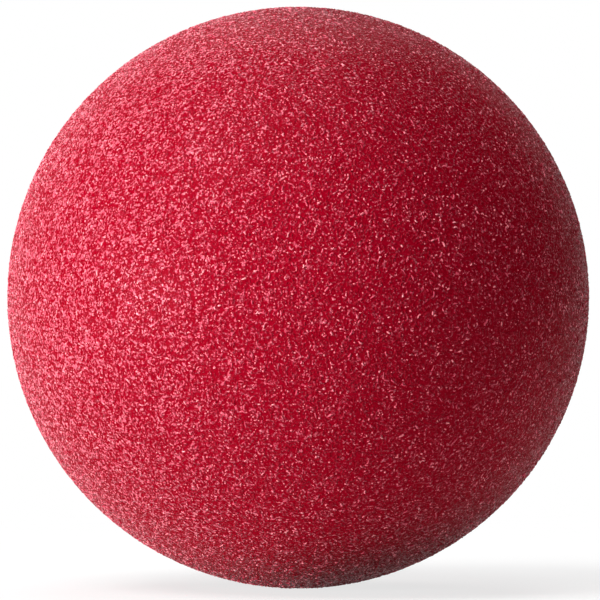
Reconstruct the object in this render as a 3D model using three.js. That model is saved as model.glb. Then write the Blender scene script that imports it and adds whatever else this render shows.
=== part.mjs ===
// Table football ball, a three.js scene in millimetres with +Z up.
// The ball is one solid piece of red plastic, cast and then ground to a sphere all over.
// The origin is the ball's centre, and the ball stands on the point straight below it.
import * as THREE from 'three';

// Driving dimension
const ballDiameter = 35;

// Finish: deep crimson plastic with a ground surface that has no gloss
const ballColour = 0xb01430;
const ballRoughness = 0.62;
const ballMetalness = 0;

// The sphere is an icosahedron whose twenty faces are each divided into small triangles.
// An even number of steps along each edge puts a corner on each end of the X, Y and Z axes,
// so the solid measures the full diameter along all three.
const stepsPerEdge = 20;

const ballMaterial = new THREE.MeshStandardMaterial({
  color: ballColour,
  roughness: ballRoughness,
  metalness: ballMetalness,
});

function makeBall() {
  const extraStepsPerEdge = stepsPerEdge - 1;
  const sphere = new THREE.IcosahedronGeometry(ballDiameter / 2, extraStepsPerEdge);
  const ball = new THREE.Mesh(sphere, ballMaterial);
  ball.name = 'ball';
  return ball;
}

const tableFootballBall = new THREE.Group();
tableFootballBall.add(makeBall());

export default tableFootballBall;
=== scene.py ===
import math

import bpy
import numpy as np
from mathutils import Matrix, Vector


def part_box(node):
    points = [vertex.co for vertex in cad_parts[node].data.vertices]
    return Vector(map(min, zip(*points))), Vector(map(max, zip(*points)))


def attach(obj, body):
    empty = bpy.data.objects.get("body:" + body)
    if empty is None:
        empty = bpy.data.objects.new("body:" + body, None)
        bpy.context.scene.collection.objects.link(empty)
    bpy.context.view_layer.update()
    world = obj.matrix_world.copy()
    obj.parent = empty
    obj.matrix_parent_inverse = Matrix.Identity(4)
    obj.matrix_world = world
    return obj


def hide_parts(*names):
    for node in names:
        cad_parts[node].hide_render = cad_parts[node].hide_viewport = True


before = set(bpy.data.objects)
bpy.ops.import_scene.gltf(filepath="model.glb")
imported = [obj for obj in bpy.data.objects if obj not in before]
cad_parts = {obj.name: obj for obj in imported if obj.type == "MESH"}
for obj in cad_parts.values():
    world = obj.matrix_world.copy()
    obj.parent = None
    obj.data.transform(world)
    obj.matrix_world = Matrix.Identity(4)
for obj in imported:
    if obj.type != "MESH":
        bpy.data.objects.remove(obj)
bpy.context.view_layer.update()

SEED = 3517

# Sizes in metres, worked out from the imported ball
MM = 0.001
BALL_LOW, BALL_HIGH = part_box("ball")
BALL_RADIUS = (BALL_HIGH[2] - BALL_LOW[2]) / 2
FLOOR_HEIGHT = BALL_LOW[2]
SKIN_DEPTH = 0.08 * MM
SKIN_RADIUS = BALL_RADIUS - SKIN_DEPTH
SKIN_QUADS_PER_EDGE = 128

# The skin's low waves: their height, the share of the long ones, and how many spreads reach it
SKIN_RELIEF = 0.008 * MM
SHORT_WAVES = (0.5 * MM, 1.3 * MM)
LONG_WAVES = (1.5 * MM, 5 * MM)
LONG_WAVE_SHARE = 0.6
RELIEF_SPREADS = 2

# Each kind of torn burr: its share of all burrs, the rings along it, and the ranges of its sizes.
# Lengths and half widths are in millimetres, and heights are shares of SKIN_DEPTH. The bend is the
# spread of its turn from tip to tip in radians, and the last range is that of its paleness.
BURR_COUNT = 112000
BURR_KINDS = {
    "grain": dict(share=0.72, rings=1, length=(0.12, 0.26), width=(0.050, 0.085), height=(0.25, 0.8),
                  bend=0.0, pale=(0.02, 2.3)),
    "curl": dict(share=0.19, rings=3, length=(0.17, 0.32), width=(0.045, 0.070), height=(0.4, 1.0),
                 bend=2.0, pale=(0.05, 2.3)),
    "smear": dict(share=0.07, rings=2, length=(0.28, 0.50), width=(0.080, 0.130), height=(0.1, 0.3),
                  bend=1.0, pale=(0.0, 0.5)),
    "sliver": dict(share=0.02, rings=5, length=(0.26, 0.46), width=(0.045, 0.070), height=(0.5, 1.0),
                   bend=1.6, pale=(0.4, 1.3)),
}
BURR_ROOT_DEPTH = 0.03 * MM
SITE_SHAKE = 0.35
PALE_SKEW = 8.4
FOOT_PALENESS = 0.25
CREST_PALENESS = (0.7, 1)
HEIGHT_BY_PALENESS = 0.35

# A burr's ragged outline, as shares of its half width and height, and how its crest tilts and leans
FOOT_RAGGED = (0.7, 1.3)
CREST_RAGGED = (0.2, 0.6)
HEIGHT_RAGGED = (0.6, 1.2)
CREST_HEIGHT = 0.8
CREST_TILT = 0.3
TILT_RANGE = (-0.6, 0.6)
LEAN_RANGE = (-0.5, 0.5)
LEAN_SHIFT = 0.5

# How torn the surface is: the size and strength of its patches, the side of the ball that is torn and
# pale most, which is the lit side, where this is painted sheen as well as denser wear, the strength of
# that difference, and how soon it levels off across the ball
PATCH_WAVELENGTHS = (0.28 * MM, 0.75 * MM)
TORN_PATCHES = 0.3
LIT_SIDE_SHEEN_AND_WEAR = (-0.99, 0.0, 0.12)
LIT_SIDE_SHEEN_AND_WEAR_GAIN = 0.7
LIT_SIDE_SHEEN_AND_WEAR_WIDTH = 0.5


# Random fields

def wave_field(points, rng, wavelength_low, wavelength_high, waves=70):
    """A smooth random field of unit spread, as a sum of plane waves of random direction and phase."""
    directions = rng.normal(size=(waves, 3))
    directions /= np.linalg.norm(directions, axis=1)[:, None]
    wavelengths = rng.uniform(wavelength_low, wavelength_high, waves)
    phases = rng.uniform(0, 2 * math.pi, waves)
    total = np.zeros(len(points))
    for direction, wavelength, phase in zip(directions, wavelengths, phases):
        total += np.cos(points @ direction * (2 * math.pi / wavelength) + phase)
    return total * math.sqrt(2 / waves)


def tornness_and_lit_sheen(points):
    """How torn the surface is: 1 on the whole, more in patches, and towards the lit side, with painted
    sheen.
    """
    patches = wave_field(points, np.random.default_rng(SEED + 1), *PATCH_WAVELENGTHS)
    # The lit side is made paler: painted sheen of the lamp there, together with denser wear
    towards_lit_side = points @ np.array(LIT_SIDE_SHEEN_AND_WEAR) / np.linalg.norm(points, axis=1)
    side = np.exp(LIT_SIDE_SHEEN_AND_WEAR_GAIN * np.tanh(towards_lit_side / LIT_SIDE_SHEEN_AND_WEAR_WIDTH))
    return side * np.exp(TORN_PATCHES * patches - TORN_PATCHES**2 / 2)


# Meshes

# The name of each mesh's own flat map
BAKE_MAP = "OFBake"
MAP_MARGIN = 0.006
MERGE_STEP = 1e-5


def mesh_object(name, points, faces_by_size, smooth=True):
    """A mesh object from an array of points and a list of index arrays, one per number of corners."""
    mesh = bpy.data.meshes.new(name)
    corner_counts = np.concatenate([np.full(len(f), f.shape[1], np.int32) for f in faces_by_size])
    corners = np.concatenate([f.ravel() for f in faces_by_size]).astype(np.int32)
    mesh.vertices.add(len(points))
    mesh.vertices.foreach_set("co", points.astype(np.float32).ravel())
    mesh.loops.add(len(corners))
    mesh.loops.foreach_set("vertex_index", corners)
    mesh.polygons.add(len(corner_counts))
    starts = np.concatenate([[0], np.cumsum(corner_counts)[:-1]]).astype(np.int32)
    mesh.polygons.foreach_set("loop_start", starts)
    mesh.update(calc_edges=True)
    mesh.polygons.foreach_set("use_smooth", np.full(len(corner_counts), smooth))
    piece = bpy.data.objects.new(name, mesh)
    bpy.context.scene.collection.objects.link(piece)
    return piece


def cube_sphere(quads_per_edge):
    """Unit directions and quads of a cube's six sides, spaced by equal angles and joined at their
    edges, and a place on a flat map for each corner of each quad."""
    steps = np.tan(np.linspace(-math.pi / 4, math.pi / 4, quads_per_edge + 1))
    u, v = np.meshgrid(steps, steps, indexing="ij")
    one = np.ones_like(u)
    sides = [(one, u, v), (-one, v, u), (v, one, u), (u, -one, v), (u, v, one), (v, u, -one)]
    points = np.concatenate([np.stack(side, -1).reshape(-1, 3) for side in sides])
    points /= np.linalg.norm(points, axis=1)[:, None]
    row = quads_per_edge + 1
    i, j = np.meshgrid(np.arange(quads_per_edge), np.arange(quads_per_edge), indexing="ij")
    first = (i * row + j).ravel()
    quads = np.stack([first, first + row, first + row + 1, first + 1], 1)
    quads = np.concatenate([quads + side * row * row for side in range(6)])
    side, place = quads // (row * row), quads % (row * row)
    across, up = place // row / quads_per_edge, place % row / quads_per_edge
    inner = 1 - 2 * MAP_MARGIN
    flat = np.stack([(side % 3 + MAP_MARGIN + across * inner) / 3,
                     (side // 3 + MAP_MARGIN + up * inner) / 2], -1)
    keys = np.round(points / MERGE_STEP).astype(np.int64)
    _, first_of, merged = np.unique(keys, axis=0, return_index=True, return_inverse=True)
    return points[first_of], merged.reshape(-1)[quads], flat


def give_bake_map(piece, corner_places):
    layer = piece.data.uv_layers.new(name=BAKE_MAP)
    layer.uv.foreach_set("vector", corner_places.astype(np.float32).ravel())


def give_values(piece, name, values):
    """Stores one number per point, which the piece's material reads by this name."""
    layer = piece.data.attributes.new(name, "FLOAT", "POINT")
    layer.data.foreach_set("value", values.astype(np.float32))


def make_skin(rng):
    directions, quads, flat = cube_sphere(SKIN_QUADS_PER_EDGE)
    places = directions * SKIN_RADIUS
    short = wave_field(places, rng, *SHORT_WAVES)
    relief = short + LONG_WAVE_SHARE * wave_field(places, rng, *LONG_WAVES)
    limited = np.clip(relief, -RELIEF_SPREADS, RELIEF_SPREADS)
    radii = SKIN_RADIUS + SKIN_RELIEF * limited / RELIEF_SPREADS
    skin = mesh_object("ground_skin", directions * radii[:, None], [quads])
    give_bake_map(skin, flat)
    # How torn the skin is, with painted sheen on the lit side
    give_values(skin, "tornness_and_lit_sheen", tornness_and_lit_sheen(places))
    return skin


def burr_sites(count, rng):
    """Directions spread evenly along a spiral, each moved at random by a share of their spacing."""
    index = np.arange(count) + 0.5
    height = 1 - 2 * index / count
    turn = index * math.pi * (3 - math.sqrt(5))
    ring = np.sqrt(1 - height**2)
    directions = np.stack([ring * np.cos(turn), ring * np.sin(turn), height], 1)
    spacing = math.sqrt(4 * math.pi / count)
    directions += rng.normal(size=directions.shape) * spacing * SITE_SHAKE
    return directions / np.linalg.norm(directions, axis=1)[:, None]


def tangents(directions, rng):
    """Two tangent vectors at each direction, turned by a random angle."""
    other = rng.normal(size=directions.shape)
    along = np.cross(directions, other)
    along /= np.linalg.norm(along, axis=1)[:, None]
    return along, np.cross(directions, along)


def bent_line(length, bend, rings):
    """Points along flat bent lines, the direction to the side at each, and their stations, -1 to 1."""
    stations = np.linspace(-1, 1, rings + 2)
    step = length[:, None] / (rings + 1)
    heading = bend[:, None] * (stations[:-1] + stations[1:])[None] / 4
    start = np.zeros((len(length), 1))
    x = np.concatenate([start, np.cumsum(step * np.cos(heading), 1)], 1)
    y = np.concatenate([start, np.cumsum(step * np.sin(heading), 1)], 1)
    x -= x.mean(1, keepdims=True)
    y -= y.mean(1, keepdims=True)
    heading_at = bend[:, None] * stations[None] / 2
    return x, y, -np.sin(heading_at), np.cos(heading_at), stations


def burr_faces(rings):
    """Quads and triangles of one burr, whose rings have four points each and whose tips come last."""
    quads, triangles = [], []
    start, end, last = rings * 4, rings * 4 + 1, (rings - 1) * 4
    for side in range(4):
        a, b = side, (side + 1) % 4
        for ring in range(0, last, 4):
            quads.append((ring + a, ring + b, ring + b + 4, ring + a + 4))
        triangles.append((b, a, start))
        triangles.append((last + a, last + b, end))
    return np.array(quads, int).reshape(-1, 4), np.array(triangles)


def make_burrs(kind, sites, rng):
    """All burrs of one kind: their points and how pale each point is, by burr."""
    count, rings = len(sites), kind["rings"]
    along, across = tangents(sites, rng)
    length = rng.uniform(*kind["length"], count) * MM
    width = rng.uniform(*kind["width"], count) * MM
    pale_low, pale_high = kind["pale"]
    # Burrs are paler where more torn, so paler towards the lit side: painted sheen as well as wear
    pale = rng.uniform(size=count) ** (PALE_SKEW / tornness_and_lit_sheen(sites * BALL_RADIUS))
    pale = np.clip(pale_low + (pale_high - pale_low) * pale, 0, 1)
    low, high = kind["height"]
    share = HEIGHT_BY_PALENESS * pale + (1 - HEIGHT_BY_PALENESS) * rng.uniform(size=count)
    height = (low + (high - low) * share) * SKIN_DEPTH
    bend = rng.normal(size=count) * kind["bend"]
    tilt = rng.uniform(*TILT_RANGE, count)
    lean = rng.uniform(*LEAN_RANGE, count)
    x, y, side_x, side_y, stations = bent_line(length, bend, rings)
    taper = np.sqrt(np.clip(1 - stations**2, 0, 1))
    half = width[:, None] * taper[None]
    foot = np.full_like(half, SKIN_RADIUS - BURR_ROOT_DEPTH)

    def ragged(low, high):
        return rng.uniform(low, high, half.shape)

    def place(out, radius):
        at_x, at_y = x + side_x * out, y + side_y * out
        flat = sites[:, None] * BALL_RADIUS + along[:, None] * at_x[..., None]
        flat += across[:, None] * at_y[..., None]
        flat /= np.linalg.norm(flat, axis=2)[..., None]
        return flat * radius[..., None]

    def crest():
        slope = CREST_HEIGHT + CREST_TILT * tilt[:, None] * stations[None]
        rise = height[:, None] * taper[None] * slope * ragged(*HEIGHT_RAGGED)
        return np.minimum(SKIN_RADIUS + rise, BALL_RADIUS)

    shift = half * lean[:, None] * LEAN_SHIFT
    sides = (
        place(half * ragged(*FOOT_RAGGED), foot),
        place(shift + half * ragged(*CREST_RAGGED), crest()),
        place(shift - half * ragged(*CREST_RAGGED), crest()),
        place(-half * ragged(*FOOT_RAGGED), foot),
    )
    tips = place(np.zeros_like(half), foot)
    inner = slice(1, rings + 1)
    ring_points = np.stack([side[:, inner] for side in sides], 2).reshape(count, rings * 4, 3)
    points = np.concatenate([ring_points, tips[:, :1], tips[:, -1:]], 1)

    foot_pale = FOOT_PALENESS * pale
    crest_pales = [pale * rng.uniform(*CREST_PALENESS, count) for _ in range(2)]
    ring_pales = np.tile(np.stack([foot_pale, *crest_pales, foot_pale], 1), (1, rings))
    return points, np.concatenate([ring_pales, np.repeat(foot_pale[:, None], 2, 1)], 1)


def octant_places(points):
    """Places on a flat map of an eighth of the ball, by the angle round its upright axis and height."""
    round_axis = np.arctan2(abs(points[:, 1]), abs(points[:, 0]))
    height = np.arcsin(abs(points[:, 2]) / np.linalg.norm(points, axis=1))
    return np.stack([round_axis, height], 1) / (math.pi / 2)


def map_burrs(piece, points):
    """Gives the burrs their map, with the faces wholly under the skin drawn together at its corner."""
    mesh = piece.data
    vertex = np.empty(len(mesh.loops), np.int32)
    mesh.loops.foreach_get("vertex_index", vertex)
    start = np.empty(len(mesh.polygons), np.int32)
    mesh.polygons.foreach_get("loop_start", start)
    highest = np.maximum.reduceat(np.linalg.norm(points, axis=1)[vertex], start)
    hidden = np.repeat(highest < SKIN_RADIUS - SKIN_RELIEF, np.diff(np.append(start, len(vertex))))
    places = octant_places(points)[vertex]
    places[hidden] = 0
    give_bake_map(piece, places)


def region_names():
    sides, depths, levels = ("left", "right"), ("front", "back"), ("low", "high")
    return [f"{x}_{y}_{z}" for x in sides for y in depths for z in levels]


def region_of(sites):
    return (sites[:, 0] > 0) * 4 + (sites[:, 1] > 0) * 2 + (sites[:, 2] > 0) * 1


def make_burr_pieces(rng):
    """One object for each eighth of the ball, with all kinds of burrs in it."""
    sites = burr_sites(BURR_COUNT, rng)
    shares = [kind["share"] for kind in BURR_KINDS.values()]
    kind_of = rng.choice(len(shares), BURR_COUNT, p=shares)
    made = []
    for number, kind in enumerate(BURR_KINDS.values()):
        own_sites = sites[kind_of == number]
        made.append((own_sites, *make_burrs(kind, own_sites, rng), *burr_faces(kind["rings"])))
    pieces = []
    for region, name in enumerate(region_names()):
        points, pales, quads, triangles = [], [], [], []
        total = 0
        for own_sites, burr_points, burr_pales, burr_quads, burr_triangles in made:
            here = region_of(own_sites) == region
            size = burr_points.shape[1]
            offsets = (total + np.arange(here.sum()) * size)[:, None, None]
            points.append(burr_points[here].reshape(-1, 3))
            pales.append(burr_pales[here].ravel())
            quads.append((burr_quads[None] + offsets).reshape(-1, 4))
            triangles.append((burr_triangles[None] + offsets).reshape(-1, 3))
            total += here.sum() * size
        points = np.concatenate(points)
        faces = [np.concatenate(quads), np.concatenate(triangles)]
        piece = mesh_object(f"grinding_burrs_{name}", points, faces)
        give_values(piece, "paleness", np.concatenate(pales))
        map_burrs(piece, points)
        pieces.append(piece)
    return pieces


# Materials

# The plastic's colour by how torn it is, from the full depth of its dye to thin pale edges
DYE_STEPS = (
    (0.00, (0.225, 0.000, 0.007)),
    (0.12, (0.345, 0.005, 0.026)),
    (0.25, (0.490, 0.021, 0.064)),
    (0.40, (0.610, 0.056, 0.103)),
    (0.60, (0.705, 0.106, 0.155)),
    (0.80, (0.765, 0.166, 0.208)),
    (1.00, (0.810, 0.282, 0.292)),
)

# How the plastic shines: the ground, the marks painted on it, and the burrs
SHEEN_TINT = (1, 0.8, 0.83, 1)
ROUGHNESS = 0.35
SHEEN_ROUGHNESS = 0.5
GROUND_GLOSS = 0.01
MARK_GLOSS = 0.6
MARK_SHEEN = 0.25
BURR_GLOSS = 0.8
BURR_SHEEN = 0.35
FULLY_TORN_PALENESS = 0.6

# Where most of a noise's values lie, how far the full depth of lines and hollows reaches towards
# their edge, and the second noise that breaks the lines up
NOISE_RANGE = (0.3, 0.7)
NOISE_MIDDLE = 0.5
LINE_CORE = 0.3
PIT_CORE = 0.3
LINE_BREAK_SCALE = 1.9
LINE_BREAKS = (0.45, 0.62)


def new_material(name):
    material = bpy.data.materials.new(name)
    material.use_nodes = True
    nodes = material.node_tree.nodes
    nodes.clear()
    output = nodes.new("ShaderNodeOutputMaterial")
    shader = nodes.new("ShaderNodeBsdfPrincipled")
    material.node_tree.links.new(shader.outputs["BSDF"], output.inputs["Surface"])
    return material, material.node_tree, shader


def put(tree, socket, value):
    if isinstance(value, bpy.types.NodeSocket):
        tree.links.new(value, socket)
    else:
        socket.default_value = value


def maths(tree, operation, *values):
    node = tree.nodes.new("ShaderNodeMath")
    node.operation = operation
    for socket, value in zip(node.inputs, values):
        put(tree, socket, value)
    return node.outputs["Value"]


def map_range(tree, value, low, high, to_low=0.0, to_high=1.0, smooth=False):
    node = tree.nodes.new("ShaderNodeMapRange")
    node.interpolation_type = "SMOOTHSTEP" if smooth else "LINEAR"
    limits = {"From Min": low, "From Max": high, "To Min": to_low, "To Max": to_high}
    for name, number in limits.items():
        node.inputs[name].default_value = number
    tree.links.new(value, node.inputs["Value"])
    return node.outputs["Result"]


def noise(tree, position, wavelength, detail=0.0):
    node = tree.nodes.new("ShaderNodeTexNoise")
    node.inputs["Scale"].default_value = 1 / wavelength
    node.inputs["Detail"].default_value = detail
    tree.links.new(position, node.inputs["Vector"])
    return node.outputs["Fac"]


def broken_lines(tree, position, wavelength, line_share):
    """Short curved lines: the level lines of one noise, broken up by another."""
    level = maths(tree, "SUBTRACT", noise(tree, position, wavelength), NOISE_MIDDLE)
    away = maths(tree, "ABSOLUTE", level)
    line = map_range(tree, away, line_share, line_share * LINE_CORE, smooth=True)
    breaks = map_range(tree, noise(tree, position, wavelength / LINE_BREAK_SCALE), *LINE_BREAKS)
    return maths(tree, "MULTIPLY", line, breaks)


def pits(tree, position, spacing, radius):
    """Round hollows, each 1 at its middle and 0 at its edge."""
    node = tree.nodes.new("ShaderNodeTexVoronoi")
    node.inputs["Scale"].default_value = 1 / spacing
    tree.links.new(position, node.inputs["Vector"])
    edge = radius / spacing
    return map_range(tree, node.outputs["Distance"], edge, PIT_CORE * edge, smooth=True)


def dyed_plastic(tree, paleness):
    ramp = tree.nodes.new("ShaderNodeValToRGB")
    steps = ramp.color_ramp.elements
    while len(steps) < len(DYE_STEPS):
        steps.new(0.5)
    for step, (place, colour) in zip(steps, DYE_STEPS):
        step.position = place
        step.color = (*colour, 1)
    tree.links.new(paleness, ramp.inputs["Fac"])
    return ramp.outputs["Color"]


def mix_colour(tree, factor, low, high):
    mix = tree.nodes.new("ShaderNodeMix")
    mix.data_type = "RGBA"
    tree.links.new(factor, mix.inputs["Factor"])
    put(tree, mix.inputs["A"], low)
    put(tree, mix.inputs["B"], high)
    return mix.outputs["Result"]


def position_of(tree):
    return tree.nodes.new("ShaderNodeTexCoord").outputs["Object"]


def stored_value(tree, name):
    node = tree.nodes.new("ShaderNodeAttribute")
    node.attribute_name = name
    return node.outputs["Fac"]


def shine(tree, shader, torn, gloss, sheen):
    """Torn plastic shines and the ground between hardly does. Torn is 1 where it is torn, and else 0."""
    level = map_range(tree, torn, 0, 1, GROUND_GLOSS, gloss)
    tree.links.new(level, shader.inputs["Specular IOR Level"])
    tree.links.new(maths(tree, "MULTIPLY", torn, sheen), shader.inputs["Sheen Weight"])
    shader.inputs["Roughness"].default_value = ROUGHNESS
    shader.inputs["Sheen Roughness"].default_value = SHEEN_ROUGHNESS
    shader.inputs["Sheen Tint"].default_value = SHEEN_TINT


# What is painted on the skin: sizes, and shares of its paleness, colour or bump
DOT_SIZE = 0.15 * MM
DOT_THRESHOLDS = (0.54, 0.74)
DOTS_BY_TORNNESS_AND_SHEEN = 0.08
DOT_PALENESS = 0.4
LINE_SIZE = 0.3 * MM
LINE_WIDTH = 0.12
LINE_PALENESS = 0.06
MOTTLE_SIZE = 0.9 * MM
MOTTLE_PALENESS = 0.02
# The hollows are a bump, and their colour is darkened as painted shade inside them
HOLLOW_SPACING = 0.42 * MM
HOLLOW_RADIUS = 0.09 * MM
HOLLOW_PAINTED_SHADE = (0.16, 0.0, 0.004, 1)
HOLLOW_SHADE_SHARE = 0.3
HOLLOW_HEIGHT = -0.6
BUMP_HEIGHT = 0.06 * MM


def pale_dots(tree, position):
    """Fine pale dots, closer together where more torn, and so towards the lit side as painted sheen too.
    """
    torn_and_lit_more = maths(tree, "SUBTRACT", stored_value(tree, "tornness_and_lit_sheen"), 1.0)
    speckle = noise(tree, position, DOT_SIZE, detail=1)
    level = maths(tree, "MULTIPLY_ADD", torn_and_lit_more, DOTS_BY_TORNNESS_AND_SHEEN, speckle)
    return map_range(tree, level, *DOT_THRESHOLDS, smooth=True)


def skin_material():
    material, tree, shader = new_material("ground_crimson_plastic")
    position = position_of(tree)
    mottle = map_range(tree, noise(tree, position, MOTTLE_SIZE, detail=2), *NOISE_RANGE)
    lines = broken_lines(tree, position, LINE_SIZE, LINE_WIDTH)
    dots = pale_dots(tree, position)
    hollows = pits(tree, position, HOLLOW_SPACING, HOLLOW_RADIUS)
    pale = maths(tree, "MULTIPLY", dots, DOT_PALENESS)
    marks = maths(tree, "MULTIPLY_ADD", lines, LINE_PALENESS, pale)
    colour = dyed_plastic(tree, maths(tree, "MULTIPLY_ADD", mottle, MOTTLE_PALENESS, marks))
    # Painted shade: the colour is darkened in the hollows
    share = maths(tree, "MULTIPLY", hollows, HOLLOW_SHADE_SHARE)
    colour = mix_colour(tree, share, colour, HOLLOW_PAINTED_SHADE)
    tree.links.new(colour, shader.inputs["Base Color"])
    height = maths(tree, "MULTIPLY_ADD", hollows, HOLLOW_HEIGHT, maths(tree, "ADD", lines, dots))
    bump = tree.nodes.new("ShaderNodeBump")
    bump.inputs["Distance"].default_value = BUMP_HEIGHT
    tree.links.new(height, bump.inputs["Height"])
    tree.links.new(bump.outputs["Normal"], shader.inputs["Normal"])
    shine(tree, shader, map_range(tree, marks, 0, DOT_PALENESS), MARK_GLOSS, MARK_SHEEN)
    return material


BURR_GRAIN_SIZE = 0.09 * MM
BURR_GRAIN = (0.75, 1.15)


def burr_material():
    material, tree, shader = new_material("torn_pale_plastic")
    paleness = stored_value(tree, "paleness")
    fine = noise(tree, position_of(tree), BURR_GRAIN_SIZE)
    grain = map_range(tree, fine, *NOISE_RANGE, *BURR_GRAIN)
    colour = dyed_plastic(tree, maths(tree, "MULTIPLY", paleness, grain))
    tree.links.new(colour, shader.inputs["Base Color"])
    shine(tree, shader, map_range(tree, paleness, 0, FULLY_TORN_PALENESS), BURR_GLOSS, BURR_SHEEN)
    return material


# Stage, lights and camera

def seen_directly(tree):
    """1 for rays straight from the camera, a mirror or clear glass, and 0 for the light on the ball."""
    path = tree.nodes.new("ShaderNodeLightPath")
    largest = path.outputs["Is Camera Ray"]
    for name in ("Is Glossy Ray", "Is Transmission Ray"):
        largest = maths(tree, "MAXIMUM", largest, path.outputs[name])
    return largest


# The floor's own white: its share near the ball, and the distances between which it grows to all
FLOOR_HALF_WIDTH = 1.5
FLOOR_WHITE = (0.9, 0.9, 0.9, 1)
FLOOR_LIFT_NEAR = 0.75
FADE_START = 0.025
FADE_END = 0.09


def make_floor():
    """A white table whose own white grows with the distance, so that only a pale shadow shows."""
    w, z = FLOOR_HALF_WIDTH, FLOOR_HEIGHT
    points = np.array([(-w, -w, z), (w, -w, z), (w, w, z), (-w, w, z)])
    floor = mesh_object("floor", points, [np.array([(0, 1, 2, 3)])], smooth=False)
    material = bpy.data.materials.new("white_table")
    material.use_nodes = True
    tree = material.node_tree
    tree.nodes.clear()
    output = tree.nodes.new("ShaderNodeOutputMaterial")
    diffuse = tree.nodes.new("ShaderNodeBsdfDiffuse")
    diffuse.inputs["Color"].default_value = FLOOR_WHITE
    glow = tree.nodes.new("ShaderNodeEmission")
    glow.inputs["Strength"].default_value = 1
    away = tree.nodes.new("ShaderNodeVectorMath")
    away.operation = "LENGTH"
    tree.links.new(position_of(tree), away.inputs[0])
    distance = away.outputs["Value"]
    lift = map_range(tree, distance, FADE_START, FADE_END, FLOOR_LIFT_NEAR, 1.0, smooth=True)
    share = maths(tree, "MULTIPLY", seen_directly(tree), lift)
    mix = tree.nodes.new("ShaderNodeMixShader")
    tree.links.new(share, mix.inputs["Fac"])
    tree.links.new(diffuse.outputs["BSDF"], mix.inputs[1])
    tree.links.new(glow.outputs["Emission"], mix.inputs[2])
    tree.links.new(mix.outputs["Shader"], output.inputs["Surface"])
    floor.data.materials.append(material)
    return floor


ROOM_LIGHT = (0.03, 0.03, 0.03, 1)
WHITE = (1, 1, 1, 1)
BACKDROP_EDGE = (0.6, 0.95)


def make_world():
    """A dim room, a white backdrop behind the ball, and white wherever the camera looks past it."""
    world = bpy.data.worlds.new("studio")
    bpy.context.scene.world = world
    world.use_nodes = True
    tree = world.node_tree
    tree.nodes.clear()
    output = tree.nodes.new("ShaderNodeOutputWorld")
    background = tree.nodes.new("ShaderNodeBackground")
    direction = tree.nodes.new("ShaderNodeSeparateXYZ")
    coordinates = tree.nodes.new("ShaderNodeTexCoord").outputs["Generated"]
    tree.links.new(coordinates, direction.inputs["Vector"])
    behind = map_range(tree, direction.outputs["Y"], *BACKDROP_EDGE, smooth=True)
    camera = tree.nodes.new("ShaderNodeLightPath").outputs["Is Camera Ray"]
    white = maths(tree, "MULTIPLY", seen_directly(tree), maths(tree, "MAXIMUM", camera, behind))
    tree.links.new(mix_colour(tree, white, ROOM_LIGHT, WHITE), background.inputs["Color"])
    tree.links.new(background.outputs["Background"], output.inputs["Surface"])


# The lamps: azimuth and elevation in degrees, distance, width and height in metres, power in watts
LAMPS = {
    "key": (-60, 1.8, 0.6, 0.3, 0.07, 5.4),
    "upper_left": (-45, 52, 0.6, 0.3, 0.3, 3.3),
    "top": (0, 80, 0.6, 0.3, 0.3, 1.0),
    "back": (180, 52, 0.6, 0.3, 0.3, 1.1),
}


def area_light(name, azimuth, elevation, distance, width, height, power):
    """A soft light with an oblong face. Azimuth 0 is the camera's side, positive towards its right."""
    a, e = math.radians(azimuth), math.radians(elevation)
    place = (
        distance * math.sin(a) * math.cos(e),
        -distance * math.cos(a) * math.cos(e),
        distance * math.sin(e),
    )
    data = bpy.data.lights.new(name, "AREA")
    data.shape = "RECTANGLE"
    data.size = width
    data.size_y = height
    data.energy = power
    light = bpy.data.objects.new(name, data)
    light.location = place
    light.rotation_euler = (-Vector(place)).to_track_quat("-Z", "Y").to_euler()
    bpy.context.scene.collection.objects.link(light)


# The picture's frame and the ball's circle in it in pixels, the lens in millimetres, and the
# nearest distance that the camera sees in metres
PICTURE_SIZE = 600
CIRCLE_CENTRE = (298.2, 297.6)
CIRCLE_RADIUS = 291.7
CAMERA_LENS = 300
SENSOR_WIDTH = 36
CLIP_START = 0.01


def make_camera():
    data = bpy.data.cameras.new("camera")
    data.lens = CAMERA_LENS
    data.sensor_width = SENSOR_WIDTH
    data.shift_x = (PICTURE_SIZE / 2 - CIRCLE_CENTRE[0]) / PICTURE_SIZE
    data.shift_y = (CIRCLE_CENTRE[1] - PICTURE_SIZE / 2) / PICTURE_SIZE
    half_view = math.atan(SENSOR_WIDTH / 2 / CAMERA_LENS * CIRCLE_RADIUS / (PICTURE_SIZE / 2))
    distance = BALL_RADIUS / math.sin(half_view)
    camera = bpy.data.objects.new("camera", data)
    camera.location = (0, -distance, 0)
    camera.rotation_euler = (math.pi / 2, 0, 0)
    data.clip_start = CLIP_START
    bpy.context.scene.collection.objects.link(camera)
    bpy.context.scene.camera = camera


rng = np.random.default_rng(SEED)
skin = make_skin(rng)
skin.data.materials.append(skin_material())
burrs = make_burr_pieces(rng)
torn = burr_material()
for piece in burrs:
    piece.data.materials.append(torn)
for piece in (skin, *burrs):
    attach(piece, "root")
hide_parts("ball")
make_floor()
make_world()
for name, numbers in LAMPS.items():
    area_light(name, *numbers)
make_camera()
bpy.context.scene.view_settings.view_transform = "Standard"
